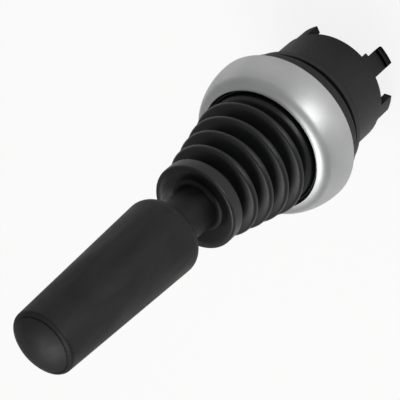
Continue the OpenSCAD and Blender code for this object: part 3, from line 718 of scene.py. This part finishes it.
class JOY_OT_bellows(bpy.types.Operator):
    """Builds the rubber bellows: folds, thick collar and clamped foot."""
    bl_idname = "joystick.bellows"
    bl_label = "Bellows"

    def execute(self, context):
        size = context.scene.joystick_bellows
        finish = moulded_rubber()
        step = Vector((size.growth, -size.pitch))
        tip = Vector((size.collar_radius - size.tip_radius,
                      size.collar_top - size.collar_depth + size.tip_radius))
        corners = fold_corners(size, tip)
        tree = fold_tree()

        def folds(name, first, count):
            # the sweep turns a profile's y over, so heights go in with their sign changed
            def flat(point):
                moved = point + step * first
                return (moved.x - tip.x, -moved.y, 0.0)
            values = {
                "Folds": count, "Step": (step.x, -step.y, 0.0), "Tip radius": size.tip_radius,
                "Groove radius": size.groove_radius, "Path radius": tip.x,
                "Segments": BELLOWS_SEGMENTS, "Material": finish}
            values.update({label: flat(point) for label, point in corners.items()})
            return solid_wall(point_outwards(grow(name, tree, values)), size.wall)

        half = size.folds // 2
        upper = folds("bellows_upper_folds", 1, half)
        lower = folds("bellows_lower_folds", 1 + half, size.folds - half)
        collar_end = corners["Bed below"]
        middle, foot_end = collar_end + step * half, collar_end + step * size.folds
        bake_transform(upper)
        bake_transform(lower)
        collar = self.collar(size, tip, corners, finish)
        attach(collar, "lever")
        foot = self.foot(size, foot_end, finish)
        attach(foot, "base")
        for piece in (upper, lower, collar, foot):
            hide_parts("bellows")
        return {"FINISHED"}

    def collar(self, size, tip, corners, finish):
        """The thick collar: rounded rear and front edges, and a face dished down to the neck."""
        neck_gap, lip, sunk = 0.03 * MM, 0.04 * MM, 0.02 * MM
        neck = radius_of("neck_sleeve") + neck_gap
        rim, front = size.collar_radius, size.collar_top
        seat = front - size.dish_depth
        root, crest, bed = corners["Lower root"], corners["Lower crest"], corners["Bed below"]
        inside, back = bed.x - size.depth, tip.y - 2 * size.tip_radius
        # the flank below the rear edge meets the straight side of the collar
        flank = crest - root
        edge = root + flank * ((rim - root.x) / flank.x)
        outline = [
            (bed.x, bed.y, 0), (root.x, root.y, size.groove_radius), (edge.x, edge.y, size.tip_radius),
            (rim, front, size.collar_edge), (neck + size.dish_width, front, size.dish_width),
            (neck, seat + lip, 0), (neck, seat - sunk, 0), (inside, seat - sunk, 0), (inside, back, 0),
            (bed.x - size.wall, bed.y, 0)]
        return lathe("bellows_collar", rounded(outline), finish, BELLOWS_SEGMENTS)

    def foot(self, size, bed, finish):
        """The straight foot and the flange that the retaining ring clamps."""
        bottom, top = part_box("bellows")[0].z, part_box("retaining_ring")[0].z
        inside = FOOT_RADIUS - size.wall
        # heights over which the last groove runs out into the foot, and how far its middle lies in
        run_out, inner_run_out, waist = 1.3 * MM, 1.5 * MM, 0.35 * MM
        waist_edge, foot_edge, flange_edge, inner_edge = 0.5 * MM, 0.4 * MM, 0.2 * MM, 0.3 * MM
        outline = [
            (bed.x, bed.y, 0), (FOOT_RADIUS - waist, bed.y - run_out / 2, waist_edge),
            (FOOT_RADIUS, bed.y - run_out, foot_edge), (FOOT_RADIUS, top, 0),
            (FLANGE_RADIUS, top, flange_edge), (FLANGE_RADIUS, bottom, 0), (inside, bottom, 0),
            (inside, bed.y - inner_run_out, inner_edge), (bed.x - size.wall, bed.y, 0)]
        return lathe("bellows_foot", rounded(outline), finish, BELLOWS_SEGMENTS)


def spring_tree():
    """A compression spring: a helix whose first and last turns close up, swept with round wire."""
    tree, given = new_tree("Compression spring", [
        ("Centre", "Vector"), ("Coil radius", "Float"), ("Wire radius", "Float"), ("Height", "Float"),
        ("Turns", "Float"), ("Points", "Int"), ("Material", "Material")])
    line = node(tree, "GeometryNodeMeshLine", {
        "Count": given["Points"], "Offset": (0, 0, MM)}).outputs["Mesh"]
    last = maths(tree, "SUBTRACT", given["Points"], 1)
    along = maths(tree, "DIVIDE", node(tree, "GeometryNodeInputIndex").outputs[0], last)
    angle = maths(tree, "MULTIPLY", maths(tree, "MULTIPLY", along, given["Turns"]), math.tau)
    rise = node(tree, "ShaderNodeMapRange", {
        "Value": along, "To Max": given["Height"]}, interpolation_type="SMOOTHSTEP").outputs["Result"]
    flat = node(tree, "ShaderNodeCombineXYZ", {
        "X": maths(tree, "COSINE", angle), "Y": maths(tree, "SINE", angle)}).outputs[0]
    wide = vector_maths(tree, "SCALE", flat, given["Coil radius"])
    lift = node(tree, "ShaderNodeCombineXYZ", {"Z": rise}).outputs[0]
    spot = vector_maths(tree, "ADD", vector_maths(tree, "ADD", wide, lift), given["Centre"])
    bent = node(tree, "GeometryNodeSetPosition", {"Geometry": line, "Position": spot}).outputs[0]
    curve = node(tree, "GeometryNodeMeshToCurve", {"Mesh": bent}).outputs[0]
    wire = node(tree, "GeometryNodeCurvePrimitiveCircle", {
        "Resolution": WIRE_SIDES, "Radius": given["Wire radius"]}).outputs["Curve"]
    swept = node(tree, "GeometryNodeCurveToMesh", {
        "Curve": curve, "Profile Curve": wire, "Fill Caps": True}).outputs[0]
    end_tree(tree, swept, given["Material"])
    return tree


def screw_tree():
    """Slotted screws on a circle, each turned to its own angle as a fitter leaves them."""
    tree, given = new_tree("Cover screws", [
        ("Count", "Int"), ("Circle radius", "Float"), ("Face", "Vector"), ("Head radius", "Float"),
        ("Head height", "Float"), ("Slot", "Float"), ("Thread radius", "Float"),
        ("Thread length", "Float"), ("Material", "Material")])

    def lifted(mesh, height, share):
        move = node(tree, "ShaderNodeCombineXYZ", {"Z": maths(tree, "MULTIPLY", height, share)})
        return node(tree, "GeometryNodeTransform", {
            "Geometry": mesh, "Translation": move.outputs[0]}).outputs[0]

    head = node(tree, "GeometryNodeMeshCylinder", {
        "Vertices": HEAD_SIDES, "Radius": given["Head radius"],
        "Depth": given["Head height"]}).outputs["Mesh"]
    # the cutter is wider than the head, and half of its depth lies outside the head's face
    across = maths(tree, "MULTIPLY", given["Head radius"], 3)
    deep = maths(tree, "MULTIPLY", given["Slot"], 2)
    size = node(tree, "ShaderNodeCombineXYZ", {"X": across, "Y": given["Slot"], "Z": deep}).outputs[0]
    cutter = node(tree, "GeometryNodeMeshCube", {"Size": size}).outputs["Mesh"]
    slotted = node(tree, "GeometryNodeMeshBoolean", {
        "Mesh 1": lifted(head, given["Head height"], -0.5),
        "Mesh 2": lifted(cutter, given["Head height"], -1)}, operation="DIFFERENCE").outputs["Mesh"]
    shank = node(tree, "GeometryNodeMeshCylinder", {
        "Vertices": SHANK_SIDES, "Radius": given["Thread radius"],
        "Depth": given["Thread length"]}).outputs["Mesh"]
    screw = node(tree, "GeometryNodeJoinGeometry").inputs["Geometry"]
    tree.links.new(slotted, screw)
    tree.links.new(lifted(shank, given["Thread length"], 0.5), screw)
    ring = node(tree, "GeometryNodeMeshCircle", {
        "Vertices": given["Count"], "Radius": given["Circle radius"]}).outputs["Mesh"]
    between_plungers = (0, 0, math.pi / 4)
    placed = node(tree, "GeometryNodeTransform", {
        "Geometry": ring, "Translation": given["Face"], "Rotation": between_plungers}).outputs[0]
    turn = node(tree, "FunctionNodeRandomValue", {
        "Min": (0, 0, 0), "Max": (0, 0, math.pi)}, data_type="FLOAT_VECTOR").outputs[0]
    copies = node(tree, "GeometryNodeInstanceOnPoints", {
        "Points": placed, "Instance": screw.node.outputs[0], "Rotation": turn}).outputs[0]
    end_tree(tree, copies, given["Material"])
    return tree


class JOY_OT_springs(bpy.types.Operator):
    """Winds the four plunger springs; each stretches between its guide and its plunger."""
    bl_idname = "joystick.springs"
    bl_label = "Plunger springs"

    def execute(self, context):
        size = context.scene.joystick_springs
        finish = spring_wire()
        tree = spring_tree()
        for side in SIDES:
            low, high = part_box("spring_" + side)
            centre = (low + high) / 2
            wire = size.wire / 2
            piece = grow("coil_" + side, tree, {
                "Centre": (centre.x, centre.y, low.z + wire),
                "Coil radius": (high.x - low.x) / 2 - wire, "Wire radius": wire,
                "Height": high.z - low.z - 2 * wire, "Turns": size.turns, "Points": COIL_POINTS,
                "Material": finish})
            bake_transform(piece)
            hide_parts("spring_" + side)
        return {"FINISHED"}


class JOY_OT_screws(bpy.types.Operator):
    """Sets the four slotted screws in the rear cover."""
    bl_idname = "joystick.screws"
    bl_label = "Cover screws"

    def execute(self, context):
        size = context.scene.joystick_screws
        low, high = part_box("cover_screws")
        face = low.z + size.head_height
        piece = grow("slotted_screws", screw_tree(), {
            "Count": size.count, "Circle radius": size.circle, "Face": (0.0, 0.0, face),
            "Head radius": size.head, "Head height": size.head_height, "Slot": size.slot,
            "Thread radius": size.thread, "Thread length": high.z - face,
            "Material": stamped_steel()})
        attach(piece, "base")
        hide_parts("cover_screws")
        return {"FINISHED"}


class JOY_OT_finishes(bpy.types.Operator):
    """Gives the turned, moulded and stamped parts carried over from the frame their finishes."""
    bl_idname = "joystick.finishes"
    bl_label = "Finishes of the frame's parts"

    def execute(self, context):
        plastic = housing_plastic()
        steel = turned_metal("steel_turned", "#8e9092", "#a9abac", 0.12)
        brass = turned_metal("brass_turned", "#a8873f", "#c3a35b", 0.10)
        pins, sheet, zinc = ground_pins(), stamped_steel(), cast_zinc()
        worn = {
            "housing": plastic, "rear_cover": plastic, "panel_gasket": nitrile_rubber(),
            "bezel": bezel_silver(), "retaining_ring": ring_plastic(), "gate_plate": sheet,
            "gimbal_pins": pins, "hub_pins": pins, "gimbal_ring": zinc, "hub": zinc,
            "lever_rod": steel, "swash_plate": steel, "rod_clip": sheet, "thread_insert": brass,
            "plunger_guides": brass,
        }
        worn.update({"plunger_" + side: brass for side in SIDES})
        for name, finish in worn.items():
            dress(name, finish)
        return {"FINISHED"}


def floor_card(colour):
    """Matt card that the camera sees nearly evenly white."""
    made, tree, place = new_material("floor_card")
    rough = mapped(tree, noise(tree, place, 1.0, 2.0), 0.8, 0.9)
    paint = node(tree, "ShaderNodeBsdfPrincipled", {"Base Color": colour, "Roughness": rough})
    glow = node(tree, "ShaderNodeEmission", {"Color": WHITE, "Strength": 1.0})
    seen = node(tree, "ShaderNodeLightPath").outputs["Is Camera Ray"]
    mixed = node(tree, "ShaderNodeMixShader", {
        0: maths(tree, "MULTIPLY", seen, FLOOR_GLOW), 1: paint.outputs["BSDF"],
        2: glow.outputs["Emission"]})
    node(tree, "ShaderNodeOutputMaterial", {"Surface": mixed.outputs["Shader"]})
    return made


def studio(strength):
    """A world that lights evenly from all round and shows the camera plain white."""
    world = bpy.data.worlds.new("studio")
    world.use_nodes = True
    sky = world.node_tree
    sky.nodes.clear()
    even = node(sky, "ShaderNodeBackground", {"Color": WHITE, "Strength": strength})
    bright = node(sky, "ShaderNodeBackground", {"Color": WHITE, "Strength": 1.0})
    seen = node(sky, "ShaderNodeLightPath").outputs["Is Camera Ray"]
    pick = node(sky, "ShaderNodeMixShader", {
        0: seen, 1: even.outputs["Background"], 2: bright.outputs["Background"]})
    node(sky, "ShaderNodeOutputWorld", {"Surface": pick.outputs["Shader"]})
    return world


def camera_axes():
    """Right, up and backward directions of the camera, squared up to one another."""
    up = Vector(CAMERA_UP)
    back = Vector(CAMERA_RIGHT).cross(up).normalized()
    return up.cross(back).normalized(), up.normalized(), back


def set_camera(scene, lens, axes):
    """Stands the camera so that its view matches the photo."""
    camera = bpy.data.objects.new("camera", bpy.data.cameras.new("camera"))
    camera.data.lens = lens
    camera.data.sensor_width = SENSOR_MM
    camera.data.clip_start = 10 * MM
    camera.matrix_world = Matrix.Translation(CAMERA_PLACE) @ Matrix(axes).transposed().to_4x4()
    scene.collection.objects.link(camera)
    scene.camera = camera


def soft_box(scene, name, centre, direction, width, power):
    """Hangs a square soft light that faces the joystick from the given direction."""
    lamp = bpy.data.lights.new(name, "AREA")
    lamp.shape = "SQUARE"
    lamp.size = width
    lamp.energy = power
    made = bpy.data.objects.new(name, lamp)
    away = direction.normalized()
    made.matrix_world = (Matrix.Translation(centre + away * LAMP_DISTANCE)
                         @ away.to_track_quat("Z", "Y").to_matrix().to_4x4())
    scene.collection.objects.link(made)


class JOY_OT_stage(bpy.types.Operator):
    """Lays the floor, hangs the soft lights and sets the camera."""
    bl_idname = "joystick.stage"
    bl_label = "Stage"

    def execute(self, context):
        scene, size = context.scene, context.scene.joystick_stage
        low, high = Vector(CAD_BOX[0]), Vector(CAD_BOX[1])
        scene.view_settings.view_transform = "Standard"
        bm = bmesh.new()
        for x, y in ((-1, -1), (1, -1), (1, 1), (-1, 1)):
            bm.verts.new((x * FLOOR_REACH, y * FLOOR_REACH, low.z))
        bm.faces.new(bm.verts)
        floor = finish_mesh("floor", bm, floor_card(size.floor_colour))
        scene.world = studio(size.sky)
        right, up, back = camera_axes()
        set_camera(scene, size.lens, (right, up, back))
        centre = Vector((0, 0, (low.z + high.z) / 2))
        x, y, z = KEY_FROM_CAMERA
        soft_box(scene, "key_light", centre, right * x + up * y + back * z, KEY_WIDTH, size.key_power)
        soft_box(scene, "fill_light", centre, Vector(FILL_DIRECTION), FILL_WIDTH, size.fill_power)
        return {"FINISHED"}


class JOY_PT_panel(bpy.types.Panel):
    """Lists the pieces of the joystick in the sidebar."""
    bl_idname = "JOY_PT_panel"
    bl_label = "Joystick"
    bl_space_type = "VIEW_3D"
    bl_region_type = "UI"
    bl_category = "Joystick"

    def draw(self, context):
        for operator in (JOY_OT_finishes, JOY_OT_grip, JOY_OT_bellows, JOY_OT_springs,
                         JOY_OT_screws, JOY_OT_stage):
            self.layout.operator(operator.bl_idname)


GROUPS = {
    "joystick_grip": JOY_PG_grip, "joystick_bellows": JOY_PG_bellows, "joystick_springs": JOY_PG_springs,
    "joystick_screws": JOY_PG_screws, "joystick_stage": JOY_PG_stage}
CLASSES = (*GROUPS.values(), JOY_OT_finishes, JOY_OT_grip, JOY_OT_bellows, JOY_OT_springs,
           JOY_OT_screws, JOY_OT_stage, JOY_PT_panel)


def register():
    """Adds the classes and the scene's sizes."""
    for item in CLASSES:
        bpy.utils.register_class(item)
    for name, group in GROUPS.items():
        setattr(bpy.types.Scene, name, bpy.props.PointerProperty(type=group))


def unregister():
    """Removes them again."""
    for name in GROUPS:
        delattr(bpy.types.Scene, name)
    for item in reversed(CLASSES):
        bpy.utils.unregister_class(item)


def main():
    """Builds the whole joystick."""
    register()
    bpy.ops.joystick.stage()
    bpy.ops.joystick.finishes()
    bpy.ops.joystick.grip()
    bpy.ops.joystick.bellows()
    bpy.ops.joystick.springs()
    bpy.ops.joystick.screws()


if __name__ == "__main__":
    main()
